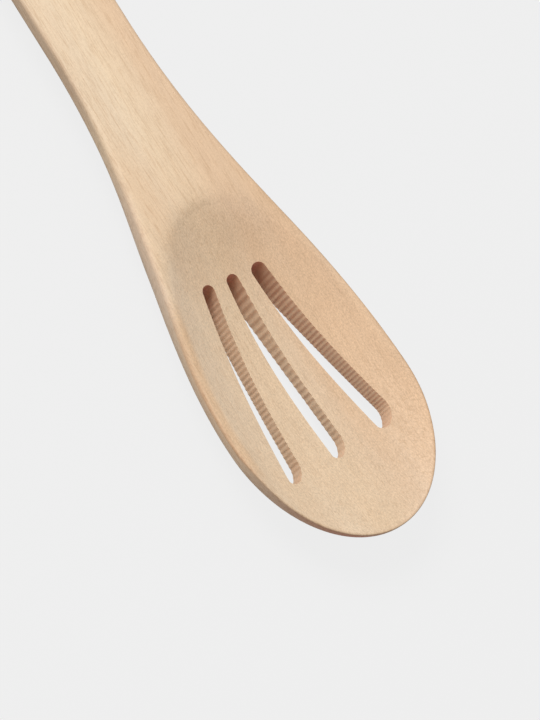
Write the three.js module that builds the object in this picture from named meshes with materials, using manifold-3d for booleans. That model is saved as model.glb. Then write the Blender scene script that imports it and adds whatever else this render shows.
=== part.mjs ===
// A slotted spoon carved from one blank of beech, in millimetres.
// +X runs from the handle to the tip, +Y across, +Z up, with the bowl open upwards.
// The origin is under the middle of the spoon, level with the flat below the bowl.
// The outline of one half is swept with an edge profile to give the blank its rounded body.
// A scoop then takes out the bowl, and three tapered slots that fan out cut through its floor.
import * as THREE from "three";
import { mergeVertices } from "three/addons/utils/BufferGeometryUtils.js";
import Module from "manifold-3d";

// Whole spoon
const TOTAL_LENGTH = 300;
const SPOON_DEPTH = 17; // from the rim down to the flat below the bowl

// Outline, with lengths along X counted back from the tip
const HEAD_WIDTH = 61.6;
const TIP_ROUND_LENGTH = 40; // tip to the widest place
const HANDLE_START = 165; // tip to where the handle's sides run straight
const HEAD_CURVE_ARM = 42.5; // how long the sides stay wide behind the widest place
const NECK_CURVE_ARM = 53.5; // how early the sides straighten into the handle

// Handle
const HANDLE_WIDTH = 27;
const HANDLE_THICKNESS = 6.2;
const HANDLE_EDGE_RADIUS = 1.9; // upper and lower edges alike
const HANDLE_END_LENGTH = 12; // length of the rounded end

// Rim of the head
const RIM_EDGE_RADIUS = 1.7;
const TIP_EDGE_RADIUS = 0.5;
const RIM_LAND = 0.4; // between the bowl's edge and the outline, where the head is widest
const RIM_WALL = 3.4; // rim plane down to where the underside starts to round off
const TIP_WALL = 0.8;

// Underside of the head, with lengths along X counted back from the tip
const TIP_THICKNESS = 7.3; // at the tip, before its underside is rounded up to the wall
const BELLY_FLAT_START = 80;
const BELLY_FLAT_LENGTH = 12;
const BELLY_RISE_LENGTH = 42; // from the flat up to the handle's underside
const BELLY_SLOPE_POWER = 1.2; // shape of the underside from the flat to the tip
const HEAD_ROUND_REACH = 16; // how far the rounding reaches in below the sides
const TIP_ROUND_REACH = 12;

// Bowl
const BOWL_LENGTH = 105.7; // tip to the end of the bowl at the neck
const BOWL_DEPTH = 9.2;
const BOWL_DEEPEST = 58; // tip to the deepest place
const BOWL_NECK_ARM = 21.5; // fullness of the bowl's edge at the neck
const BOWL_SIDE_ARM = 26.5; // fullness of the bowl's edge behind the widest place
const NECK_SLOPE_POWER = 1.95; // shape of the floor from the deepest place to the neck
const TIP_SLOPE_POWER = 1.7; // shape of the floor from the deepest place to the tip
const CROSS_POWER = 2.6; // shape of the bowl from side to side

// Slots
const SLOT_TIP_GAP = 26; // tip of the spoon to the near end of the middle slot
const SLOT_TIP_STAGGER = 1.3; // how much farther from the tip the +Y slot ends, and the -Y slot nearer
const SLOT_NECK_END = 85.9; // tip of the spoon to the far ends of the slots
const SLOT_WIDTH_NECK = 4.3;
const SLOT_WIDTH_TIP = 6.4;
const SLOT_PITCH_NECK = 8.9; // from the middle slot to a side slot, at the neck end
const SLOT_PITCH_TIP = 17.1; // the same at the tip end

// Steps of the curves
const HANDLE_END_STEPS = 10;
const HANDLE_STEPS = 10;
const NECK_STEPS = 26;
const TIP_STEPS = 26;
const EDGE_STEPS = 4;
const UNDERSIDE_STEPS = 6;
const BOWL_NECK_STEPS = 26;
const BOWL_ACROSS_STEPS = 18;
const SLOT_ARC_STEPS = 10;
const CUT_MARGIN = 5; // how far a cutter stands clear of what it cuts
const MERGE_DISTANCE = 1e-4;

const tipX = TOTAL_LENGTH / 2;
const endX = -TOTAL_LENGTH / 2;
const handleStartX = tipX - HANDLE_START;
const widestX = tipX - TIP_ROUND_LENGTH;
const flatFrontX = tipX - BELLY_FLAT_START;
const flatBackX = flatFrontX - BELLY_FLAT_LENGTH;
const riseX = flatBackX - BELLY_RISE_LENGTH;

const wasm = await Module();
wasm.setup();

const { lerp, smoothstep } = THREE.MathUtils;

// 0 on the handle, 1 on the head
function headShare(x) {
  return smoothstep(x, riseX, flatBackX);
}

// 0 up to the widest place, 1 at the tip
function tipShare(x) {
  return smoothstep(x, widestX, tipX);
}

// A size that blends from its value on the handle to the head's and on to the tip's.
function along(x, onHandle, onHead, atTip) {
  return lerp(lerp(onHandle, onHead, headShare(x)), atTip, tipShare(x));
}

// Thickness of the spoon below the rim plane, before the bowl is scooped out.
function thickness(x) {
  if (x < flatFrontX) return lerp(HANDLE_THICKNESS, SPOON_DEPTH, headShare(x));
  const run = (x - flatFrontX) / (tipX - flatFrontX);
  return lerp(SPOON_DEPTH, TIP_THICKNESS, run ** BELLY_SLOPE_POWER);
}

// Points on the +Y half of the outline from the handle's end to the tip, each with its outward normal.
function halfOutline() {
  const handleHalf = HANDLE_WIDTH / 2;
  const headHalf = HEAD_WIDTH / 2;
  const endCentreX = endX + HANDLE_END_LENGTH;
  const curves = [
    [
      new THREE.EllipseCurve(endCentreX, 0, HANDLE_END_LENGTH, handleHalf, Math.PI, Math.PI / 2, true),
      HANDLE_END_STEPS,
    ],
    [
      new THREE.LineCurve(
        new THREE.Vector2(endCentreX, handleHalf),
        new THREE.Vector2(handleStartX, handleHalf),
      ),
      HANDLE_STEPS,
    ],
    [
      new THREE.CubicBezierCurve(
        new THREE.Vector2(handleStartX, handleHalf),
        new THREE.Vector2(handleStartX + NECK_CURVE_ARM, handleHalf),
        new THREE.Vector2(widestX - HEAD_CURVE_ARM, headHalf),
        new THREE.Vector2(widestX, headHalf),
      ),
      NECK_STEPS,
    ],
    [
      new THREE.EllipseCurve(widestX, 0, TIP_ROUND_LENGTH, headHalf, Math.PI / 2, 0, true),
      TIP_STEPS,
    ],
  ];
  const stations = [{ point: new THREE.Vector2(endX, 0), normal: new THREE.Vector2(-1, 0) }];
  for (const [curve, steps] of curves) {
    for (let i = 1; i <= steps; i++) {
      const tangent = curve.getTangent(i / steps);
      stations.push({
        point: curve.getPoint(i / steps),
        normal: new THREE.Vector2(-tangent.y, tangent.x),
      });
    }
  }
  stations[stations.length - 1] = {
    point: new THREE.Vector2(tipX, 0),
    normal: new THREE.Vector2(1, 0),
  };
  return stations;
}

// The edge profile at one station, from the upper face round the side to the underside.
function edgeProfile({ point, normal }) {
  const place = (inset, z) =>
    new THREE.Vector3(point.x - normal.x * inset, point.y - normal.y * inset, z);
  const upperRadius = along(point.x, HANDLE_EDGE_RADIUS, RIM_EDGE_RADIUS, TIP_EDGE_RADIUS);
  const reach = along(point.x, HANDLE_EDGE_RADIUS, HEAD_ROUND_REACH, TIP_ROUND_REACH);
  const wall = along(point.x, HANDLE_THICKNESS - HANDLE_EDGE_RADIUS, RIM_WALL, TIP_WALL);
  const drop = thickness(point.x - normal.x * reach) - wall;
  const profile = [];
  for (let i = 0; i <= EDGE_STEPS; i++) {
    const angle = (i / EDGE_STEPS) * (Math.PI / 2);
    const inset = upperRadius * (1 - Math.sin(angle));
    profile.push(place(inset, SPOON_DEPTH - upperRadius * (1 - Math.cos(angle))));
  }
  for (let i = 0; i <= UNDERSIDE_STEPS; i++) {
    const angle = (i / UNDERSIDE_STEPS) * (Math.PI / 2);
    const inset = reach * (1 - Math.cos(angle));
    profile.push(place(inset, SPOON_DEPTH - wall - drop * Math.sin(angle)));
  }
  return profile;
}

// A closed geometry through rings of points, whose first and last rings fold shut on themselves.
function loft(rings) {
  const across = rings[0].length;
  const positions = rings.flat().flatMap((p) => [p.x, p.y, p.z]);
  const corners = [];
  for (let i = 0; i + 1 < rings.length; i++) {
    for (let j = 0; j < across; j++) {
      const a = i * across + j;
      const b = i * across + ((j + 1) % across);
      corners.push(a, a + across, b, b, a + across, b + across);
    }
  }
  const geometry = new THREE.BufferGeometry();
  geometry.setAttribute("position", new THREE.Float32BufferAttribute(positions, 3));
  geometry.setIndex(corners);
  return geometry;
}

// A manifold solid from a closed geometry, without the triangles that folded to a line.
function solid(geometry) {
  geometry.deleteAttribute("normal");
  geometry.deleteAttribute("uv");
  const merged = mergeVertices(geometry, MERGE_DISTANCE);
  const index = merged.index.array;
  const triangles = [];
  for (let i = 0; i < index.length; i += 3) {
    const [a, b, c] = [index[i], index[i + 1], index[i + 2]];
    if (a !== b && b !== c && c !== a) triangles.push(a, b, c);
  }
  return new wasm.Manifold(
    new wasm.Mesh({
      numProp: 3,
      vertProperties: merged.attributes.position.array,
      triVerts: new Uint32Array(triangles),
    }),
  );
}

const mirrored = (p) => new THREE.Vector3(p.x, -p.y, p.z);

// The uncut body: each ring runs down the +Y side and back up the -Y side.
function blank() {
  const rings = halfOutline().map((station) => {
    const side = edgeProfile(station);
    return [...side, ...side.map(mirrored).reverse()];
  });
  return solid(loft(rings));
}

// Depth of the bowl on its middle line.
function bowlDepth(x) {
  const deepestX = tipX - BOWL_DEEPEST;
  if (x < deepestX) {
    const run = (deepestX - x) / (BOWL_LENGTH - BOWL_DEEPEST);
    return BOWL_DEPTH * (1 - Math.min(run, 1) ** NECK_SLOPE_POWER);
  }
  const run = (x - deepestX) / (BOWL_DEEPEST - RIM_LAND);
  return BOWL_DEPTH * (1 - Math.min(run, 1) ** TIP_SLOPE_POWER);
}

// The +Y half of the bowl's edge from the neck to the tip.
function bowlEdge() {
  const neckX = tipX - BOWL_LENGTH;
  const half = HEAD_WIDTH / 2 - RIM_LAND;
  const side = new THREE.CubicBezierCurve(
    new THREE.Vector2(neckX, 0),
    new THREE.Vector2(neckX, BOWL_NECK_ARM),
    new THREE.Vector2(widestX - BOWL_SIDE_ARM, half),
    new THREE.Vector2(widestX, half),
  );
  const front = new THREE.EllipseCurve(
    widestX, 0, TIP_ROUND_LENGTH - RIM_LAND, half, Math.PI / 2, 0, true,
  );
  const edge = [...side.getPoints(BOWL_NECK_STEPS), ...front.getPoints(TIP_STEPS).slice(1)];
  edge[edge.length - 1].y = 0;
  return edge;
}

// The scoop: the bowl's floor below, and a lid above the rim so that the cut is clean.
function scoop() {
  const lidZ = SPOON_DEPTH + CUT_MARGIN;
  const rings = bowlEdge().map(({ x, y }) => {
    const ring = [new THREE.Vector3(x, y, lidZ)];
    for (let i = 0; i <= BOWL_ACROSS_STEPS; i++) {
      const share = 1 - (2 * i) / BOWL_ACROSS_STEPS;
      const depth = bowlDepth(x) * (1 - Math.abs(share) ** CROSS_POWER);
      ring.push(new THREE.Vector3(x, y * share, SPOON_DEPTH - depth));
    }
    ring.push(new THREE.Vector3(x, -y, lidZ));
    return ring;
  });
  return solid(loft(rings));
}

// The cutter of one slot: side is -1, 0 or 1 across the head.
function slotCutter(side) {
  const neckRadius = SLOT_WIDTH_NECK / 2;
  const tipRadius = SLOT_WIDTH_TIP / 2;
  const tipEndX = tipX - SLOT_TIP_GAP - side * SLOT_TIP_STAGGER;
  const tipCentre = new THREE.Vector2(tipEndX - tipRadius, side * SLOT_PITCH_TIP);
  const neckCentre = new THREE.Vector2(tipX - SLOT_NECK_END + neckRadius, side * SLOT_PITCH_NECK);
  const run = tipCentre.clone().sub(neckCentre);
  const flare = Math.asin((tipRadius - neckRadius) / run.length());
  const quarter = Math.PI / 2;
  const shape = new THREE.Shape();
  shape.absarc(0, 0, neckRadius, quarter + flare, 3 * quarter - flare, false);
  shape.absarc(run.length(), 0, tipRadius, -quarter - flare, quarter + flare, false);
  shape.closePath();
  const geometry = new THREE.ExtrudeGeometry(shape, {
    depth: SPOON_DEPTH + 2 * CUT_MARGIN,
    bevelEnabled: false,
    curveSegments: SLOT_ARC_STEPS,
  });
  geometry.rotateZ(run.angle());
  geometry.translate(neckCentre.x, neckCentre.y, -CUT_MARGIN);
  return solid(geometry);
}

function spoonGeometry() {
  let spoon = blank().subtract(scoop());
  for (const side of [-1, 0, 1]) {
    spoon = spoon.subtract(slotCutter(side));
  }
  const mesh = spoon.getMesh();
  const geometry = new THREE.BufferGeometry();
  geometry.setAttribute("position", new THREE.BufferAttribute(mesh.vertProperties, 3));
  geometry.setIndex(new THREE.BufferAttribute(mesh.triVerts, 1));
  geometry.computeVertexNormals();
  return geometry;
}

const beech = new THREE.MeshStandardMaterial({ color: 0xe2c6a4, roughness: 0.6, metalness: 0 });

const spoonBody = new THREE.Mesh(spoonGeometry(), beech);
spoonBody.name = "spoon_body";

const slottedSpoon = new THREE.Group();
slottedSpoon.name = "slotted_spoon";
slottedSpoon.add(spoonBody);

export default slottedSpoon;
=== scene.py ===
import math
import random
from typing import NamedTuple

import bmesh
import bpy
import numpy as np
from mathutils import Matrix, Vector
from mathutils.geometry import interpolate_bezier


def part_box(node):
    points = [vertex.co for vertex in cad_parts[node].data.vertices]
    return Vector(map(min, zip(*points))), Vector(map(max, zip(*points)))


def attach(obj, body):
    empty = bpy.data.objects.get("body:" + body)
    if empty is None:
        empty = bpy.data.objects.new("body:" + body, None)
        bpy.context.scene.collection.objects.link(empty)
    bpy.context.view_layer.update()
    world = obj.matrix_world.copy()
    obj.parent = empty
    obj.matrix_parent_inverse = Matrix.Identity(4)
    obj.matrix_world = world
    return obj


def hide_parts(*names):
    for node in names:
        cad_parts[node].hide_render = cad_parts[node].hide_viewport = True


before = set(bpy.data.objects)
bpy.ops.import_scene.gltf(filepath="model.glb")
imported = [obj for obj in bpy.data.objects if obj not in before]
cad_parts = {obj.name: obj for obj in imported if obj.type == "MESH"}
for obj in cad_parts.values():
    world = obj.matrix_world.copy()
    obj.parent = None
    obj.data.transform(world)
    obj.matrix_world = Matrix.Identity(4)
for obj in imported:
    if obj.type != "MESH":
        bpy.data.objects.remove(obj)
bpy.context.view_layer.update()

MM = 0.001

# Sizes from the frame
LOW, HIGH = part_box("spoon_body")
END_X, TIP_X = LOW[0], HIGH[0]
HEAD_HALF = HIGH[1]
RIM_Z = HIGH[2]

# Outline of the spoon
TIP_ROUND = 40 * MM
HANDLE_START_X = TIP_X - 165 * MM
HEAD_ARM = 42.5 * MM
NECK_ARM = 53.5 * MM
HANDLE_HALF = 13.5 * MM
HANDLE_END = 12 * MM
WIDEST_X = TIP_X - TIP_ROUND
END_CENTRE_X = END_X + HANDLE_END

# Edges and underside
HANDLE_THICKNESS = 6.2 * MM
HANDLE_RADIUS = 1.9 * MM
HANDLE_LEFT_RADIUS = 1.3 * MM
RIM_RADIUS = 1.7 * MM
TIP_RADIUS_LEFT = 0.4 * MM
TIP_RADIUS_RIGHT = 0.25 * MM
TAPER_LEFT_X = 70 * MM
TAPER_RIGHT_X = 52 * MM
TAPER_LENGTH = 50 * MM
SIDE_CHANGE = 10 * MM
LEFT_HANDLE_Y = (0, 8)
LEFT_HANDLE_X = (-5, 22)
RIM_SAG = 1.1 * MM
SAG_X = (58, 92, 98, 124)
LEFT_RIM_DROP = 0.95 * MM
LEFT_RIM_Y = (5, 15)
LEFT_RIM_X = (62, 86, 106, 122)
RIM_WALL = 3.4 * MM
TIP_WALL = 0.8 * MM
TIP_THICKNESS = 7.3 * MM
FLAT_FRONT_X = TIP_X - 80 * MM
FLAT_BACK_X = FLAT_FRONT_X - 12 * MM
RISE_X = FLAT_BACK_X - 42 * MM
BELLY_POWER = 1.2
HEAD_REACH = 16 * MM
TIP_REACH = 12 * MM

# Bowl
BOWL_NECK_X = TIP_X - 105.7 * MM
BOWL_DEPTH = 9.2 * MM
DEEPEST_X = TIP_X - 58 * MM
RIM_LAND = 0.4 * MM
BOWL_NECK_ARM = 21.5 * MM
BOWL_SIDE_ARM = 26.5 * MM
NECK_POWER = 1.95
TIP_POWER = 1.7
CROSS_POWER = 2.6
SOFT_EDGE_NECK = 0.40 * MM
SOFT_EDGE_TIP = 0.03 * MM
EDGE_SLOPE = 0.45
EDGE_LEAD = 1.8 * MM
LEAD_REACH = 5 * MM
CRISP_X = 100 * MM


# Slots
class Slot(NamedTuple):
    neck: tuple
    tip: tuple
    neck_radius: float
    tip_radius: float
    bow: float
    neck_rib: float
    tip_rib: float


SLOTS = (
    Slot((65.95, -8.9), (122.4, -17.15), 2.13, 3.06, -0.17, 1.65, 1.6),
    Slot((66.1, 0.0), (121.6, 0.0), 2.02, 3.03, 0.31, 2.5, 1.7),
    Slot((66.71, 8.9), (119.9, 17.23), 2.3, 3.53, 0.04, 1.85, 1.1),
)
RIB_DEPTH = 0.24 * MM
SMOOTH_SIDE_RIBS = 0.25
RIB_START = 3.5 * MM
RIB_LIMIT = 90
DEEP_RIB = 2.5 * MM
CUT_MARGIN = 3 * MM
SLOT_ROUND_STEPS = 64
SLOT_COARSE_STEPS = 100
SLOT_STEPS = 300
END_CURVE = 3 * MM
END_SKEW = 0.3

# Mesh steps
HANDLE_END_STEPS = 20
HANDLE_STEPS = 32
NECK_STEPS = 30
BOWL_START_STEPS = 50
BOWL_START = 20 * MM
HEAD_STEPS = 64
TIP_STEPS = 70
HALF_ROWS = 60
ROW_CROWDING = 0.85
PLACES_AT_ONCE = 4000


def blend(x, start, end):
    """0 before start, 1 after end, smooth between."""
    t = np.clip((x - start) / (end - start), 0.0, 1.0)
    return t * t * (3 - 2 * t)


def after(x, start, end):
    """Blend between two places given in millimetres."""
    return blend(x, start * MM, end * MM)


def between(x, rise_start, rise_end, fall_start, fall_end):
    """1 on a stretch given in millimetres, smooth to 0 at both of its ends."""
    return after(x, rise_start, rise_end) * (1 - after(x, fall_start, fall_end))


def mix(a, b, share):
    return a + (b - a) * share


def along(x, handle, head, tip):
    """A size that goes from its value on the handle to the head's and on to the tip's."""
    value = mix(handle, head, blend(x, RISE_X, FLAT_BACK_X))
    return mix(value, tip, blend(x, WIDEST_X, TIP_X))


def curve_points(knot, arm, far_arm, far_knot, count=400):
    points = [Vector((*p, 0.0)) for p in (knot, arm, far_arm, far_knot)]
    return np.array([p[:2] for p in interpolate_bezier(*points, count)])


def quarter_points(centre, length, half, count=300):
    """Points on a quarter ellipse, from its side to its end."""
    turn = np.linspace(0.0, math.pi / 2, count)
    return np.stack((centre + length * np.sin(turn), half * np.cos(turn)), axis=1)


SHOULDER = curve_points(
    (HANDLE_START_X, HANDLE_HALF),
    (HANDLE_START_X + NECK_ARM, HANDLE_HALF),
    (WIDEST_X - HEAD_ARM, HEAD_HALF),
    (WIDEST_X, HEAD_HALF),
)
OUTLINE = np.concatenate((
    quarter_points(END_CENTRE_X, -HANDLE_END, HANDLE_HALF)[::-1],
    SHOULDER,
    quarter_points(WIDEST_X, TIP_ROUND, HEAD_HALF)[1:],
))
BOWL_EDGE = np.concatenate((
    curve_points(
        (BOWL_NECK_X, 0.0),
        (BOWL_NECK_X, BOWL_NECK_ARM),
        (WIDEST_X - BOWL_SIDE_ARM, HEAD_HALF - RIM_LAND),
        (WIDEST_X, HEAD_HALF - RIM_LAND),
    ),
    quarter_points(WIDEST_X, TIP_ROUND - RIM_LAND, HEAD_HALF - RIM_LAND)[1:],
))


def half_width(x):
    """Half of the spoon's width, exact on its rounded ends."""
    side = np.interp(x, OUTLINE[:, 0], OUTLINE[:, 1])
    tip = np.sqrt(np.clip(1 - ((x - WIDEST_X) / TIP_ROUND) ** 2, 0, 1)) * HEAD_HALF
    end = np.sqrt(np.clip(1 - ((x - END_CENTRE_X) / HANDLE_END) ** 2, 0, 1)) * HANDLE_HALF
    return np.where(x > WIDEST_X, tip, np.where(x < END_CENTRE_X, end, side))


def nearest_on(line, x, y):
    """The nearest point of a line of points to each place, on the +Y half."""
    places = np.stack((x, np.abs(y)), axis=1)
    found = np.empty_like(places)
    for first in range(0, len(places), PLACES_AT_ONCE):
        part = slice(first, first + PLACES_AT_ONCE)
        some = places[part]
        gaps = ((some[:, None, :] - line[None, :, :]) ** 2).sum(axis=2)
        nearest = gaps.argmin(axis=1)
        best = np.full(len(some), np.inf)
        for step in (-1, 0):
            index = np.clip(nearest + step, 0, len(line) - 2)
            start = line[index]
            run = line[index + 1] - start
            share = ((some - start) * run).sum(axis=1) / (run * run).sum(axis=1)
            foot = start + run * np.clip(share, 0, 1)[:, None]
            gap = ((some - foot) ** 2).sum(axis=1)
            closer = gap < best
            best[closer] = gap[closer]
            found[part][closer] = foot[closer]
    distance = np.hypot(places[:, 0] - found[:, 0], places[:, 1] - found[:, 1])
    return found, distance


def bowl_half_width(x):
    return np.interp(x, BOWL_EDGE[:, 0], BOWL_EDGE[:, 1], left=0.0, right=0.0)


def bowl_inset(x, y):
    """How far inside the bowl's edge a place lies, negative outside it."""
    distance = nearest_on(BOWL_EDGE, x, y)[1]
    return np.where(np.abs(y) < bowl_half_width(x), distance, -distance)


def bowl_floor(x):
    back = np.clip((DEEPEST_X - x) / (DEEPEST_X - BOWL_NECK_X), 0, 1) ** NECK_POWER
    front = np.clip((x - DEEPEST_X) / (TIP_X - RIM_LAND - DEEPEST_X), 0, 1) ** TIP_POWER
    return BOWL_DEPTH * (1 - np.where(x < DEEPEST_X, back, front))


def bowl_drop(x, y):
    """Depth of the scoop below the rim plane, eased in at its edge."""
    half = np.maximum(bowl_half_width(x), 1e-9)
    scoop = bowl_floor(x) * (1 - np.clip(np.abs(y) / half, 0, 1) ** CROSS_POWER)
    inset = bowl_inset(x, y)
    crisp = blend(x, BOWL_NECK_X, CRISP_X)
    lead = (1 - crisp) * EDGE_LEAD * np.exp(-np.maximum(inset, 0) / LEAD_REACH)
    level = np.where(inset > 0, scoop, EDGE_SLOPE * inset) + EDGE_SLOPE * lead
    ease = mix(SOFT_EDGE_NECK, SOFT_EDGE_TIP, crisp)
    return ease * np.logaddexp(0, level / ease)


def rim_sag(x):
    """How far the rim dips below its plane along the head."""
    return RIM_SAG * between(x, *SAG_X)


def top_drop(x, y):
    """Depth of the upper surface below the rim plane: the rounded edge and the bowl."""
    foot, inside = nearest_on(OUTLINE, x, y)
    foot_x = foot[:, 0]
    right = blend(y, -SIDE_CHANGE, SIDE_CHANGE)
    taper_x = mix(TAPER_LEFT_X, TAPER_RIGHT_X, right)
    radius = mix(HANDLE_RADIUS, RIM_RADIUS, blend(foot_x, RISE_X, FLAT_BACK_X))
    tip_radius = mix(TIP_RADIUS_LEFT, TIP_RADIUS_RIGHT, right)
    radius = mix(radius, tip_radius, blend(foot_x, taper_x, taper_x + TAPER_LENGTH))
    left_handle = after(-y, *LEFT_HANDLE_Y) * (1 - after(foot_x, *LEFT_HANDLE_X))
    radius = mix(radius, HANDLE_LEFT_RADIUS, left_handle)
    inset = np.clip(radius - inside, 0, radius)
    rounded = radius - np.sqrt(radius ** 2 - inset ** 2)
    left_rim = after(-y, *LEFT_RIM_Y) * between(x, *LEFT_RIM_X)
    level = rim_sag(x) + LEFT_RIM_DROP * left_rim
    return ((rounded + level) ** 4 + bowl_drop(x, y) ** 4) ** 0.25


def thickness(x):
    back = mix(HANDLE_THICKNESS, RIM_Z, blend(x, RISE_X, FLAT_BACK_X))
    run = np.clip((x - FLAT_FRONT_X) / (TIP_X - FLAT_FRONT_X), 0, 1)
    return np.where(x < FLAT_FRONT_X, back, mix(RIM_Z, TIP_THICKNESS, run ** BELLY_POWER))


def under_drop(x, y):
    """Depth of the underside below the rim plane, rounded up to the side wall."""
    foot, inside = nearest_on(OUTLINE, x, y)
    foot_x = foot[:, 0]
    out = (foot_x - x) / np.maximum(inside, 1e-9)
    reach = along(foot_x, HANDLE_RADIUS, HEAD_REACH, TIP_REACH)
    wall = along(foot_x, HANDLE_THICKNESS - HANDLE_RADIUS, RIM_WALL, TIP_WALL)
    wall = wall + rim_sag(foot_x)
    depth = thickness(np.where(inside < reach, foot_x - out * reach, x))
    inset = np.clip(1 - inside / reach, 0, 1)
    return wall + (depth - wall) * np.sqrt(1 - inset ** 2)


def stations():
    """Places along X where the sheet has a row of vertices across."""
    end_turn = np.linspace(0, math.pi / 2, HANDLE_END_STEPS, endpoint=False)
    tip_turn = np.linspace(0, math.pi / 2, TIP_STEPS + 1)
    bowl_x = BOWL_NECK_X - 2 * MM
    return np.concatenate((
        END_CENTRE_X - HANDLE_END * np.cos(end_turn),
        np.linspace(END_CENTRE_X, HANDLE_START_X, HANDLE_STEPS, endpoint=False),
        np.linspace(HANDLE_START_X, bowl_x, NECK_STEPS, endpoint=False),
        np.linspace(bowl_x, bowl_x + BOWL_START, BOWL_START_STEPS, endpoint=False),
        np.linspace(bowl_x + BOWL_START, WIDEST_X, HEAD_STEPS, endpoint=False),
        WIDEST_X + TIP_ROUND * np.sin(tip_turn),
    ))


# Modelling helpers

def deselect_objects():
    bpy.ops.object.select_all(action="DESELECT")


def only(obj):
    deselect_objects()
    obj.select_set(True)
    bpy.context.view_layer.objects.active = obj


def edit(obj, kind="VERT"):
    only(obj)
    bpy.ops.object.mode_set(mode="EDIT")
    bpy.ops.mesh.select_mode(type=kind)
    return bmesh.from_edit_mesh(obj.data)


def leave_edit():
    bpy.ops.object.mode_set(mode="OBJECT")


def pick(elements):
    bpy.ops.mesh.select_all(action="DESELECT")
    for element in elements:
        element.select_set(True)


def apply_modifier(obj, kind, **settings):
    only(obj)
    modifier = obj.modifiers.new(kind.title(), kind)
    for key, value in settings.items():
        setattr(modifier, key, value)
    bpy.ops.object.modifier_apply(modifier=modifier.name)


def places(obj):
    """The vertices of an object as three arrays x, y and z."""
    flat = np.empty(3 * len(obj.data.vertices), dtype=np.float32)
    obj.data.vertices.foreach_get("co", flat)
    return flat.reshape(-1, 3).T.astype(float)


def carve(obj, name, depth, weights, direction="Z"):
    """Push the surface by depth times a weight for each vertex."""
    group = obj.vertex_groups.new(name=name)
    for index, weight in enumerate(weights):
        group.add([index], float(weight), "REPLACE")
    apply_modifier(
        obj, "DISPLACE", direction=direction, strength=depth, mid_level=0.0, vertex_group=name
    )
    obj.vertex_groups.clear()


def spoon_sheet():
    """A flat sheet with the spoon's outline, level with the rim."""
    along_x = stations()
    deselect_objects()
    bpy.ops.mesh.primitive_grid_add(
        x_subdivisions=len(along_x) - 1, y_subdivisions=1, size=1, location=(0, 0, RIM_Z)
    )
    sheet = bpy.context.object
    only(sheet)
    bpy.ops.object.transform_apply(location=True, rotation=True, scale=True)
    bm = edit(sheet)
    columns = {}
    for vertex in bm.verts:
        columns.setdefault(round(vertex.co.x, 5), []).append(vertex)
    for place, (x, column) in zip(along_x, sorted(columns.items())):
        pick(column)
        bpy.ops.transform.translate(value=(place - x, 0, 0))
        width = 2 * float(half_width(place))
        bpy.ops.transform.resize(value=(1, width, 1), center_override=(0, 0, RIM_Z))
    bpy.ops.mesh.select_mode(type="EDGE")
    bm = bmesh.from_edit_mesh(sheet.data)
    pick(e for e in bm.edges if abs(e.verts[0].co.x - e.verts[1].co.x) < 1e-7)
    bpy.ops.mesh.subdivide(number_cuts=2 * HALF_ROWS - 1)
    bpy.ops.mesh.select_mode(type="VERT")
    bm = bmesh.from_edit_mesh(sheet.data)
    rows = {}
    for vertex in bm.verts:
        width = float(half_width(vertex.co.x))
        if width > 1e-6:
            rows.setdefault(round(HALF_ROWS * abs(vertex.co.y) / width), []).append(vertex)
    for row in range(1, HALF_ROWS):
        share = row / HALF_ROWS
        crowded = mix(share, math.sin(math.pi / 2 * share), ROW_CROWDING)
        pick(rows[row])
        bpy.ops.transform.resize(value=(1, crowded / share, 1), center_override=(0, 0, RIM_Z))
    bpy.ops.mesh.select_all(action="SELECT")
    bpy.ops.mesh.remove_doubles(threshold=1e-7)
    leave_edit()
    return sheet


def carved_body():
    """Upper and lower sheets carved to depth and joined by the side wall."""
    top = spoon_sheet()
    top.name = "spoon"
    bpy.ops.object.duplicate()
    under = bpy.context.object
    x, y, _ = places(top)
    carve(top, "upper", -BOWL_DEPTH, top_drop(x, y) / BOWL_DEPTH)
    carve(under, "under", -RIM_Z, under_drop(x, y) / RIM_Z)
    edit(under)
    bpy.ops.mesh.select_all(action="SELECT")
    bpy.ops.mesh.flip_normals()
    leave_edit()
    deselect_objects()
    under.select_set(True)
    top.select_set(True)
    bpy.context.view_layer.objects.active = top
    bpy.ops.object.join()
    edit(top, "EDGE")
    bpy.ops.mesh.select_all(action="DESELECT")
    bpy.ops.mesh.select_non_manifold(
        extend=False,
        use_wire=False,
        use_boundary=True,
        use_multi_face=False,
        use_non_contiguous=False,
        use_verts=False,
    )
    bpy.ops.mesh.bridge_edge_loops(number_cuts=3, interpolation="LINEAR")
    bpy.ops.mesh.select_all(action="SELECT")
    bpy.ops.mesh.normals_make_consistent(inside=False)
    leave_edit()
    return top


def rib_heights(slot, travel, length, seed):
    """Height of the cutter's ribs at each place along a slot, from 0 to 1."""
    chance = random.Random(seed)
    heights = np.array([chance.uniform(0.5, 1.0) for _ in range(RIB_LIMIT)])
    share = np.clip(travel / length, 0, 1)
    spacing = mix(slot.neck_rib, slot.tip_rib, share) * MM
    growth = (slot.tip_rib - slot.neck_rib) * MM / length
    turns = np.log(spacing / (slot.neck_rib * MM)) / growth
    turns += np.maximum(travel - length, 0) / (slot.tip_rib * MM)
    number = np.floor(turns).astype(int)
    height = mix(heights[number], heights[number + 1], turns - number)
    rise = blend(travel, 0, RIB_START)
    depth = rise * height * spacing / DEEP_RIB
    return depth * (0.5 - 0.5 * np.cos(2 * math.pi * turns))


def skewed_end(slot, x, y, length):
    """Sideways place of a slot's sides, with its tip end rounded off from one side."""
    radius = mix(slot.neck_radius, slot.tip_radius, np.clip(x / length, 0, 1)) * MM
    turn = np.clip((x - length + END_CURVE) / (slot.tip_radius * MM + END_CURVE), 0, 1)
    rounded = np.where(y > 0, np.minimum(y, radius * np.sqrt(1 - turn ** 2)), y)
    return np.maximum(rounded - END_SKEW * radius * turn ** 2, np.minimum(-radius, y))


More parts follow.
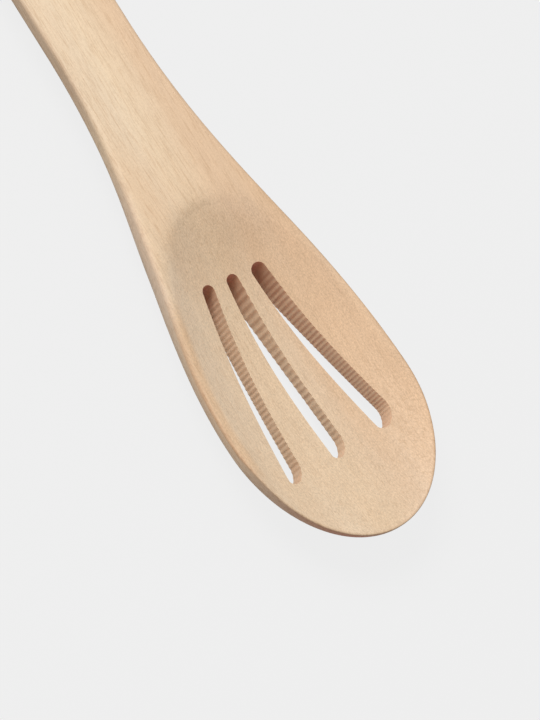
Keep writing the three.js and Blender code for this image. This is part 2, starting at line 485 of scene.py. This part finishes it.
def slot_cutter(slot, seed):
    """A tapered bar with round ends and ribbed sides, standing through the bowl."""
    neck = Vector((*slot.neck, 0)) * MM
    tip = Vector((*slot.tip, 0)) * MM
    run = tip - neck
    deselect_objects()
    bpy.ops.mesh.primitive_circle_add(
        vertices=SLOT_ROUND_STEPS, radius=slot.neck_radius * MM, fill_type="NGON"
    )
    cutter = bpy.context.object
    bm = edit(cutter)
    pick(v for v in bm.verts if v.co.x > 1e-6)
    growth = slot.tip_radius / slot.neck_radius
    bpy.ops.transform.resize(value=(growth, growth, 1), center_override=(0, 0, 0))
    bpy.ops.transform.translate(value=(run.length, 0, 0))
    bpy.ops.mesh.select_mode(type="EDGE")
    bm = bmesh.from_edit_mesh(cutter.data)
    pick(e for e in bm.edges if e.calc_length() > run.length / 2)
    bpy.ops.mesh.subdivide(number_cuts=SLOT_COARSE_STEPS - 1)
    step = run.length / SLOT_COARSE_STEPS
    pick(e for e in bm.edges if step / 1.5 < e.calc_length() < 2 * step)
    bpy.ops.mesh.subdivide(number_cuts=SLOT_STEPS // SLOT_COARSE_STEPS - 1)
    bpy.ops.mesh.select_all(action="SELECT")
    bpy.ops.mesh.extrude_region_move(
        TRANSFORM_OT_translate={"value": (0, 0, RIM_Z + 2 * CUT_MARGIN)}
    )
    bpy.ops.mesh.select_all(action="SELECT")
    bpy.ops.mesh.normals_make_consistent(inside=False)
    leave_edit()
    x, y, _ = places(cutter)
    move = y - skewed_end(slot, x, y, run.length)
    carve(cutter, "end", -move.max(), move / move.max(), "Y")
    # The caps tilt the normals of their corners by 45 degrees, which the root of 2 makes up for
    ribs = rib_heights(slot, x, run.length, seed) * np.where(y > 0, 1.0, SMOOTH_SIDE_RIBS)
    carve(cutter, "ribs", RIB_DEPTH * math.sqrt(2), ribs, "NORMAL")
    share = np.clip(x / run.length, 0, 1)
    carve(cutter, "bow", slot.bow * MM * math.sqrt(2), 4 * share * (1 - share), "NORMAL")
    edit(cutter)
    bpy.ops.mesh.select_all(action="SELECT")
    bpy.ops.transform.rotate(
        value=-math.atan2(run.y, run.x), orient_axis="Z", center_override=(0, 0, 0)
    )
    bpy.ops.transform.translate(value=(neck.x, neck.y, -CUT_MARGIN))
    leave_edit()
    return cutter


def cut(body, cutter):
    apply_modifier(
        body,
        "BOOLEAN",
        operation="DIFFERENCE",
        object=cutter,
        solver="EXACT",
        material_mode="TRANSFER",
    )
    bpy.data.objects.remove(cutter)


# Tints over the spoon, partly the wood's own tone and partly painted light and shade, and the
# places in millimetres where they start and end
# Darker hollow: partly its milled finish, partly painted shade in the recess
HOLLOW_MILLED_AND_SHADE_TINT = (0.945, 0.94, 0.935)
HOLLOW_NECK_X = (52, 68)
HOLLOW_EDGE_NECK = (-8, 1.5)
HOLLOW_EDGE_TIP = (0, 0.3)
NARROWEST_HALF = 5 * MM
# Painted light: the bowl's two slopes paler, the left one also cooler
LEFT_SLOPE_LIGHT_TINT = (1.03, 1.09, 1.18)
LEFT_SLOPE_X = (45, 63)
LEFT_SLOPE_FADE = 0.7
LEFT_SLOPE_FADE_X = (85, 130)
RIGHT_SLOPE_LIGHT_TINT = (1.04, 1.05, 1.08)
NECK_LEFT_TINT = (0.965, 0.925, 0.89)
NECK_LEFT_X = (8, 34, 60, 74)
NECK_RIGHT_FADE = 0.8
NECK_RIGHT_Y = (-12, 8)
NECK_EDGE_FADE = 0.7
NECK_EDGE_Y = (14, 19)
HANDLE_TINT = (1.035, 1.06, 1.075)
HANDLE_TINT_X = (30, 50)
HANDLE_TINT_Y = (3, 9)
WALL_DEPTH = (0, 1.2)
# Painted shade and light on the -Y side wall
WALL_END_SHADE_TINT = (0.88, 0.83, 0.81)
WALL_END_X = (-5, 20)
WALL_NECK_LIGHT_TINT = (1.08, 1.08, 1.15)
WALL_NECK_X = (15, 40, 62, 88)
WALL_HEAD_TINT = (1.04, 0.98, 0.96)
WALL_HEAD_X = (70, 90, 112, 126)
# Painted shade along the left rim, darkest at its edge and fading inwards
LEFT_RIM_SHADE_TINT = (0.94, 0.86, 0.79)
LEFT_RIM_TINT_X = (60, 76, 112, 124)
LEFT_RIM_DEPTH = (1.6, 4.5)
# Painted shade along the top's outer edge towards the tip, with nicks
EDGE_SHADE_AND_NICK_DEPTH = (0.1, 1.0)
EDGE_SHADE_AND_NICK_X = (70, 115)
CURL_X = (96, 110, 140, 150)
CURL_Y = (11, 20)
ON_SURFACE = 0.05 * MM


def tinted(tint, colour, share):
    return tint * mix(1.0, np.array(colour), share[:, None])


def mark_tint(body):
    """Store the colour changes over the spoon: the wood's tone, the milled hollow and nicks on the
    edge, and painted light and shade on the bowl, the left rim, the side wall and the edge.
    """
    x, y, z = places(body)
    inside = nearest_on(OUTLINE, x, y)[1]
    upper = np.abs(RIM_Z - top_drop(x, y) - z) < ON_SURFACE
    left_side = np.where(y < 0, 1.0, 0.0)
    crisp = blend(x, BOWL_NECK_X, CRISP_X)
    inset = bowl_inset(x, y)
    edge_start = mix(HOLLOW_EDGE_NECK[0], HOLLOW_EDGE_TIP[0], crisp)
    edge_end = mix(HOLLOW_EDGE_NECK[1], HOLLOW_EDGE_TIP[1], crisp)
    hollow = np.where(upper, after(inset, edge_start, edge_end), 0.0)
    across = np.clip(y / np.maximum(bowl_half_width(x), NARROWEST_HALF), -1, 1)

    # The hollow, darker partly for its milled finish and partly as painted shade in the recess, and
    # paler on its two slopes as painted light
    rim = upper * left_side * (1 - after(inside, *LEFT_RIM_DEPTH)) * between(x, *LEFT_RIM_TINT_X)
    left = (hollow - rim).clip(0) * np.clip(-across, 0, 1) ** 2 * after(x, *LEFT_SLOPE_X)
    left *= 1 - LEFT_SLOPE_FADE * after(x, *LEFT_SLOPE_FADE_X)
    right = hollow * np.clip(across, 0, 1) ** 2
    milled = mix(np.array(HOLLOW_MILLED_AND_SHADE_TINT), np.array(LEFT_SLOPE_LIGHT_TINT), left[:, None])
    milled = mix(milled, np.array(RIGHT_SLOPE_LIGHT_TINT), right[:, None])
    tint = mix(1.0, milled, hollow[:, None])

    # The flat of the neck, painted shade along the left rim, and the handle
    neck = upper * between(x, *NECK_LEFT_X) * (1 - NECK_RIGHT_FADE * after(y, *NECK_RIGHT_Y))
    neck *= 1 - NECK_EDGE_FADE * after(-y, *NECK_EDGE_Y)
    tint = tinted(tint, NECK_LEFT_TINT, neck)
    # Painted shade deepens the hollow towards the neck
    tint = tinted(tint, HOLLOW_MILLED_AND_SHADE_TINT, hollow * (1 - after(x, *HOLLOW_NECK_X)))
    tint = tinted(tint, LEFT_RIM_SHADE_TINT, rim)
    handle = upper * (1 - after(x, *HANDLE_TINT_X)) * (1 - after(np.abs(y), *HANDLE_TINT_Y))
    tint = tinted(tint, HANDLE_TINT, handle)

    # The side wall on -Y: painted shade at the handle end, painted light along the neck, warmer on
    # the head
    wall = left_side * (1 - after(inside, *WALL_DEPTH))
    tint = tinted(tint, WALL_END_SHADE_TINT, wall * (1 - after(x, *WALL_END_X)))
    tint = tinted(tint, WALL_NECK_LIGHT_TINT, wall * between(x, *WALL_NECK_X))
    tint = tinted(tint, WALL_HEAD_TINT, wall * between(x, *WALL_HEAD_X))

    # Painted shade along the edge of the top towards the tip, with nicks
    edge = upper * (1 - after(inside, *EDGE_SHADE_AND_NICK_DEPTH)) * after(x, *EDGE_SHADE_AND_NICK_X)
    curl = upper * between(x, *CURL_X) * after(y, *CURL_Y)
    colours = np.concatenate((tint, np.ones((len(x), 1))), axis=1)
    layer = body.data.attributes.new("tint", "FLOAT_COLOR", "POINT")
    layer.data.foreach_set("color", colours.astype(np.float32).ravel())
    for name, values in (("hollow", hollow), ("edge", edge), ("curl", curl)):
        layer = body.data.attributes.new(name, "FLOAT", "POINT")
        layer.data.foreach_set("value", values.astype(np.float32))


def make_spoon(outside, slot_wall):
    body = carved_body()
    body.data.materials.append(outside)
    for seed, slot in enumerate(SLOTS):
        cutter = slot_cutter(slot, seed)
        cutter.data.materials.append(slot_wall)
        cut(body, cutter)
    mark_tint(body)
    only(body)
    bpy.ops.object.shade_smooth_by_angle(angle=math.radians(40))
    return body


# Material helpers

def node(tree, kind, inputs=None, **settings):
    """Add a node, set its properties and link or set its inputs."""
    made = tree.nodes.new(kind)
    for key, value in settings.items():
        setattr(made, key, value)
    for socket, value in (inputs or {}).items():
        if isinstance(value, bpy.types.NodeSocket):
            tree.links.new(value, made.inputs[socket])
        else:
            made.inputs[socket].default_value = value
    return made


def calc(tree, operation, a, b=0.0):
    return node(tree, "ShaderNodeMath", {0: a, 1: b}, operation=operation).outputs[0]


def vector_calc(tree, operation, a, b=(0, 0, 0)):
    made = node(tree, "ShaderNodeVectorMath", {0: a, 1: b}, operation=operation)
    return made.outputs["Value" if operation == "LENGTH" else "Vector"]


def spread(tree, value, low, high, to_low=0.0, to_high=1.0):
    """A value spread from one range to another, and held at its ends."""
    settings = {"Value": value, "From Min": low, "From Max": high}
    settings.update({"To Min": to_low, "To Max": to_high})
    return node(tree, "ShaderNodeMapRange", settings).outputs["Result"]


def noise(tree, place, scale, detail=1.0, output="Fac"):
    """Noise with its own scale per metre along each axis."""
    scaled = vector_calc(tree, "MULTIPLY", place, scale)
    settings = {"Vector": scaled, "Scale": 1.0, "Detail": detail}
    return node(tree, "ShaderNodeTexNoise", settings).outputs[output]


def mix_colour(tree, factor, a, b, blend_type="MIX"):
    made = node(
        tree, "ShaderNodeMix", {0: factor, 6: a, 7: b}, data_type="RGBA", blend_type=blend_type
    )
    return made.outputs[2]


# Beech grain, with the fibres along X
RING_CENTRE = (0.0, 45 * MM, -40 * MM)
RING_TILT = (0, math.radians(0.6), math.radians(-1.0))
RING_SPACING = 2.5 * MM
RING_WANDER = 1.6
DENSE_TINT = (0.96, 0.92, 0.91, 1)
BROAD_SHARE = 0.14


def streaked(group, given, colour, mask, share):
    """The colour with the streak colour laid over it where the mask is."""
    amount = calc(group, "MULTIPLY", mask, given[share])
    return mix_colour(group, amount, colour, given["Streak"])


def beech_grain():
    """Colour, fibre mask and height of beech that was sawn along its fibres."""
    group = bpy.data.node_groups.new("beech_grain", "ShaderNodeTree")
    for name, kind in (
        ("Pale", "NodeSocketColor"),
        ("Warm", "NodeSocketColor"),
        ("Streak", "NodeSocketColor"),
        ("Ring Share", "NodeSocketFloat"),
        ("Line Share", "NodeSocketFloat"),
        ("Fleck Share", "NodeSocketFloat"),
        ("Mottle Share", "NodeSocketFloat"),
    ):
        group.interface.new_socket(name=name, in_out="INPUT", socket_type=kind)
    for name, kind in (
        ("Color", "NodeSocketColor"),
        ("Fibre", "NodeSocketFloat"),
        ("Height", "NodeSocketFloat"),
    ):
        group.interface.new_socket(name=name, in_out="OUTPUT", socket_type=kind)
    given = node(group, "NodeGroupInput").outputs
    place = node(group, "ShaderNodeTexCoord").outputs["Object"]
    sway = noise(group, place, (7, 30, 30), output="Color")
    sway = vector_calc(group, "SUBTRACT", sway, (0.5, 0.5, 0.5))
    sway = vector_calc(group, "MULTIPLY", sway, (0, 3 * MM, 3 * MM))
    place = vector_calc(group, "ADD", place, sway)

    # Broad paler and warmer bands, and a change from paler on -Y to warmer on +Y that is partly the
    # wood's tone and partly painted colour of the light
    y_place = node(group, "ShaderNodeSeparateXYZ", {0: place}).outputs["Y"]
    side = spread(group, y_place, -24 * MM, 28 * MM)
    bands = spread(group, noise(group, place, (5, 55, 55), 2.0), 0.33, 0.67)
    tone = calc(group, "MULTIPLY", calc(group, "ADD", bands, side), 0.5)
    colour = mix_colour(group, tone, given["Pale"], given["Warm"])
    dense = mix_colour(group, 1.0, colour, DENSE_TINT, "MULTIPLY")
    colour = mix_colour(group, spread(group, y_place, -2 * MM, 10 * MM), colour, dense)

    # Growth rings round an axis below the spoon
    turned = node(group, "ShaderNodeMapping", {"Vector": place, "Rotation": RING_TILT})
    across = vector_calc(group, "SUBTRACT", turned.outputs["Vector"], RING_CENTRE)
    radius = vector_calc(group, "LENGTH", vector_calc(group, "MULTIPLY", across, (0, 1, 1)))
    wander = calc(group, "MULTIPLY", noise(group, place, (12, 70, 70), 2.0), RING_WANDER)
    count = calc(group, "ADD", calc(group, "DIVIDE", radius, RING_SPACING), wander)
    part = calc(group, "FRACT", count)
    late = calc(group, "MULTIPLY", spread(group, part, 0.5, 0.92), spread(group, part, 1.0, 0.92))
    number = calc(group, "FLOOR", count)
    chance = node(group, "ShaderNodeTexWhiteNoise", {"W": number}, noise_dimensions="1D")
    strength = spread(group, chance.outputs["Value"], 0.0, 1.0, 0.25, 1.0)
    ring = calc(group, "MULTIPLY", late, strength)
    colour = streaked(group, given, colour, ring, "Ring Share")

    # Long pore lines, short flecks, the fine mottle of cut fibres and broad streaks
    lines = spread(group, noise(group, place, (150, 2400, 2400), 1.0), 0.50, 0.72)
    flecks = spread(group, noise(group, place, (420, 2600, 2600), 1.0), 0.58, 0.72)
    mottle = calc(group, "SUBTRACT", noise(group, place, (1700, 3200, 3200), 1.0), 0.5)
    colour = streaked(group, given, colour, lines, "Line Share")
    colour = streaked(group, given, colour, flecks, "Fleck Share")
    broad = calc(group, "SUBTRACT", noise(group, place, (25, 380, 380), 2.0), 0.5)
    shade = calc(group, "ADD", calc(group, "MULTIPLY", mottle, given["Mottle Share"]), 1.0)
    shade = calc(group, "ADD", calc(group, "MULTIPLY", broad, BROAD_SHARE), shade)
    shade = node(group, "ShaderNodeCombineColor", {0: shade, 1: shade, 2: shade}).outputs[0]
    colour = mix_colour(group, 1.0, colour, shade, "MULTIPLY")
    fibre = calc(group, "MAXIMUM", lines, flecks)
    height = calc(group, "SUBTRACT", mottle, fibre)
    node(group, "NodeGroupOutput", {"Color": colour, "Fibre": fibre, "Height": height})
    return group


# Darker steep faces turned to +X, away from the lamp: partly end grain, partly painted shade
END_GRAIN_AND_SHADE_TINT = (0.75, 0.42, 0.38, 1)
# Brown of the painted edge shade and of the nicks
EDGE_SHADE_AND_NICK_COLOUR = (0.40, 0.22, 0.11, 1)
STREAK_COLOUR = (0.600, 0.395, 0.235, 1)
CURL_ANGLE = math.radians(52)
RIGHT_END_GRAIN_AND_SHADE = {"beech": 0.25, "beech_slot_wall": 1.0}
PLAIN = (1, 1, 1, 1)
# Painted shade at the neck ends of the slots
NECK_END_SHADE_TINT = (0.81, 0.65, 0.57, 1)
TIP_END_TINT = (0.88, 0.83, 0.80, 1)
# Painted shade in the slot on -Y
LEFT_SLOT_SHADE_TINT = (0.94, 0.94, 0.94, 1)


def wood_material(name, group, values):
    """A wood material, its colour darker on steep faces turned to +X, partly end grain and partly
    painted shade away from the lamp, its shader and its grain node.
    """
    material = bpy.data.materials.new(name)
    material.use_nodes = True
    tree = material.node_tree
    shader = tree.nodes["Principled BSDF"]
    grain = node(tree, "ShaderNodeGroup", node_tree=group)
    for key, value in values.items():
        grain.inputs[key].default_value = value
    rough = spread(tree, grain.outputs["Fibre"], 0.0, 1.0, 0.55, 0.72)
    tree.links.new(rough, shader.inputs["Roughness"])
    relief = {"Height": grain.outputs["Height"], "Strength": 0.15, "Distance": 0.1 * MM}
    bump = node(tree, "ShaderNodeBump", relief)
    tree.links.new(bump.outputs["Normal"], shader.inputs["Normal"])
    shader.inputs["Specular IOR Level"].default_value = 0.35
    normal = node(tree, "ShaderNodeNewGeometry").outputs["Normal"]
    facing = node(tree, "ShaderNodeSeparateXYZ", {0: normal}).outputs
    # Painted shade, partly end grain, on steep faces turned to +X, less where they do not face -Y
    across = spread(tree, facing["X"], 0.08, 0.85)
    steep = spread(tree, facing["Z"], 0.9, 0.2)
    across = calc(tree, "MULTIPLY", across, steep)
    shown = spread(tree, facing["Y"], -0.1, -0.5, RIGHT_END_GRAIN_AND_SHADE[name], 1.0)
    across = calc(tree, "MULTIPLY", across, shown)
    end_grain_and_shade = mix_colour(tree, 1.0, grain.outputs["Color"], END_GRAIN_AND_SHADE_TINT, "MULTIPLY")
    colour = mix_colour(tree, across, grain.outputs["Color"], end_grain_and_shade)
    return material, colour, shader, grain


def outside_beech(group):
    """Sanded beech, with finer and fuzzier grain where the bowl was milled, and painted shade and
    nicks along the edge.
    """
    material, wood, shader, grain = wood_material("beech", group, {
        "Pale": (0.835, 0.665, 0.480, 1),
        "Warm": (0.810, 0.570, 0.355, 1),
        "Streak": STREAK_COLOUR,
        "Ring Share": 0.06,
    })
    tree = material.node_tree
    hollow = node(tree, "ShaderNodeAttribute", attribute_name="hollow").outputs["Fac"]
    for share, flat, milled in (
        ("Line Share", 0.46, 0.34),
        ("Fleck Share", 0.26, 0.22),
        ("Mottle Share", 0.30, 0.55),
    ):
        tree.links.new(spread(tree, hollow, 0.0, 1.0, flat, milled), grain.inputs[share])
    tint = node(tree, "ShaderNodeAttribute", attribute_name="tint").outputs["Color"]
    colour = mix_colour(tree, 1.0, wood, tint, "MULTIPLY")
    edge = node(tree, "ShaderNodeAttribute", attribute_name="edge").outputs["Fac"]
    place = node(tree, "ShaderNodeTexCoord").outputs["Object"]
    curl = node(tree, "ShaderNodeAttribute", attribute_name="curl").outputs["Fac"]
    turned = node(tree, "ShaderNodeMapping", {"Vector": place, "Rotation": (0, 0, -CURL_ANGLE)})
    fibres = noise(tree, turned.outputs["Vector"], (260, 1500, 1500))
    curled = spread(tree, fibres, 0.56, 0.72, 0.0, 0.5)
    colour = mix_colour(tree, calc(tree, "MULTIPLY", curl, curled), colour, STREAK_COLOUR)
    # A brown band of painted shade along the edge, broken by darker nicks
    edge_shade_and_nicks = spread(tree, noise(tree, place, (1000, 1000, 1000), 2.0), 0.5, 0.7, 0.30, 0.6)
    colour = mix_colour(tree, calc(tree, "MULTIPLY", edge, edge_shade_and_nicks), colour, EDGE_SHADE_AND_NICK_COLOUR)
    tree.links.new(colour, shader.inputs["Base Color"])
    return material


def slot_beech(group):
    """Beech cut by the slot cutter, paler than the outside as painted light, with painted shade at
    the neck ends of the slots and in the slot on -Y, and darker at the tip ends.
    """
    material, wood, shader, _ = wood_material("beech_slot_wall", group, {
        # Paler than the outside wood: painted light on the slot walls
        "Pale": (1.000, 0.780, 0.550, 1),
        "Warm": (0.990, 0.720, 0.490, 1),
        "Streak": (0.560, 0.340, 0.190, 1),
        "Ring Share": 0.08,
        "Line Share": 0.14,
        "Fleck Share": 0.14,
        "Mottle Share": 0.25,
    })
    tree = material.node_tree
    place = node(tree, "ShaderNodeTexCoord").outputs["Object"]
    place = node(tree, "ShaderNodeSeparateXYZ", {0: place}).outputs
    colour = wood
    # Painted shade at the neck ends and in the slot on -Y, and darker tip ends
    for axis, start, end, first, last in (
        ("X", 66, 76, NECK_END_SHADE_TINT, PLAIN),
        ("X", 117, 124, PLAIN, TIP_END_TINT),
        ("Y", -8, 0, LEFT_SLOT_SHADE_TINT, PLAIN),
    ):
        share = spread(tree, place[axis], start * MM, end * MM)
        tint = mix_colour(tree, share, first, last)
        colour = mix_colour(tree, 1.0, colour, tint, "MULTIPLY")
    # Cut fibres stand up like fuzz and catch the light
    shader.inputs["Sheen Weight"].default_value = 0.5
    shader.inputs["Sheen Tint"].default_value = (1.0, 0.78, 0.58, 1)
    tree.links.new(colour, shader.inputs["Base Color"])
    return material


# Camera, floor and light

PICTURE_HEIGHT = 720
FOCAL_PIXELS = 3233.4
CAMERA_AIM = Vector((91.74 * MM, -7.12 * MM, RIM_Z))
CAMERA_DISTANCE = 0.9
CAMERA_AZIMUTH = math.radians(13.203)
CAMERA_ELEVATION = math.radians(59.416)
CAMERA_ROLL = math.radians(46.487)
SENSOR = 36.0


def make_camera():
    data = bpy.data.cameras.new("camera")
    data.sensor_width = SENSOR
    data.lens = FOCAL_PIXELS / PICTURE_HEIGHT * SENSOR
    data.clip_start = 0.01
    camera = bpy.data.objects.new("camera", data)
    bpy.context.collection.objects.link(camera)
    turn = Matrix.Rotation(CAMERA_AZIMUTH, 4, "Z")
    turn = turn @ Matrix.Rotation(math.pi / 2 - CAMERA_ELEVATION, 4, "X")
    turn = turn @ Matrix.Rotation(CAMERA_ROLL, 4, "Z")
    back = turn.to_3x3() @ Vector((0, 0, 1))
    camera.matrix_world = Matrix.Translation(CAMERA_AIM + back * CAMERA_DISTANCE) @ turn
    bpy.context.scene.camera = camera


FLOOR_SEEN = 0.88
FLOOR_GLOW = 0.932
FLOOR_COLOUR = 0.35


def grey(value):
    return (value, value, value, 1)


def make_floor():
    """A pale floor that keeps a faint shadow: mostly glow to the camera, matt to all other rays."""
    deselect_objects()
    bpy.ops.mesh.primitive_plane_add(size=6, location=(0, 0, 0))
    floor = bpy.context.object
    floor.name = "floor"
    material = bpy.data.materials.new("pale_floor")
    material.use_nodes = True
    tree = material.node_tree
    tree.nodes.clear()
    path = node(tree, "ShaderNodeLightPath").outputs
    seen = calc(tree, "MAXIMUM", path["Is Camera Ray"], path["Is Glossy Ray"])
    seen = calc(tree, "MAXIMUM", seen, path["Is Transmission Ray"])
    matt = node(tree, "ShaderNodeBsdfDiffuse", {"Color": grey(FLOOR_COLOUR)})
    glow = node(tree, "ShaderNodeEmission", {"Color": grey(FLOOR_GLOW)})
    seen = calc(tree, "MULTIPLY", seen, FLOOR_SEEN)
    both = node(tree, "ShaderNodeMixShader", {0: seen, 1: matt.outputs[0], 2: glow.outputs[0]})
    node(tree, "ShaderNodeOutputMaterial", {"Surface": both.outputs[0]})
    floor.data.materials.append(material)


KEY_DIRECTION = Vector((-0.53, -0.20, 0.80)).normalized()
KEY_DISTANCE = 1.5
KEY_SIZE = 0.8
KEY_POWER = 17.0
SKY_STRENGTH = 0.42


def make_light():
    data = bpy.data.lights.new("key", "AREA")
    data.shape = "DISK"
    data.size = KEY_SIZE
    data.energy = KEY_POWER
    key = bpy.data.objects.new("key", data)
    bpy.context.collection.objects.link(key)
    turn = KEY_DIRECTION.to_track_quat("Z", "Y").to_matrix().to_4x4()
    key.matrix_world = Matrix.Translation(KEY_DIRECTION * KEY_DISTANCE) @ turn
    world = bpy.data.worlds.new("studio")
    world.use_nodes = True
    sky = world.node_tree.nodes["Background"]
    sky.inputs["Color"].default_value = (1, 1, 1, 1)
    sky.inputs["Strength"].default_value = SKY_STRENGTH
    bpy.context.scene.world = world


grain_group = beech_grain()
spoon = make_spoon(outside_beech(grain_group), slot_beech(grain_group))
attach(spoon, "root")
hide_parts("spoon_body")

make_camera()
make_floor()
make_light()
bpy.context.scene.view_settings.view_transform = "Standard"
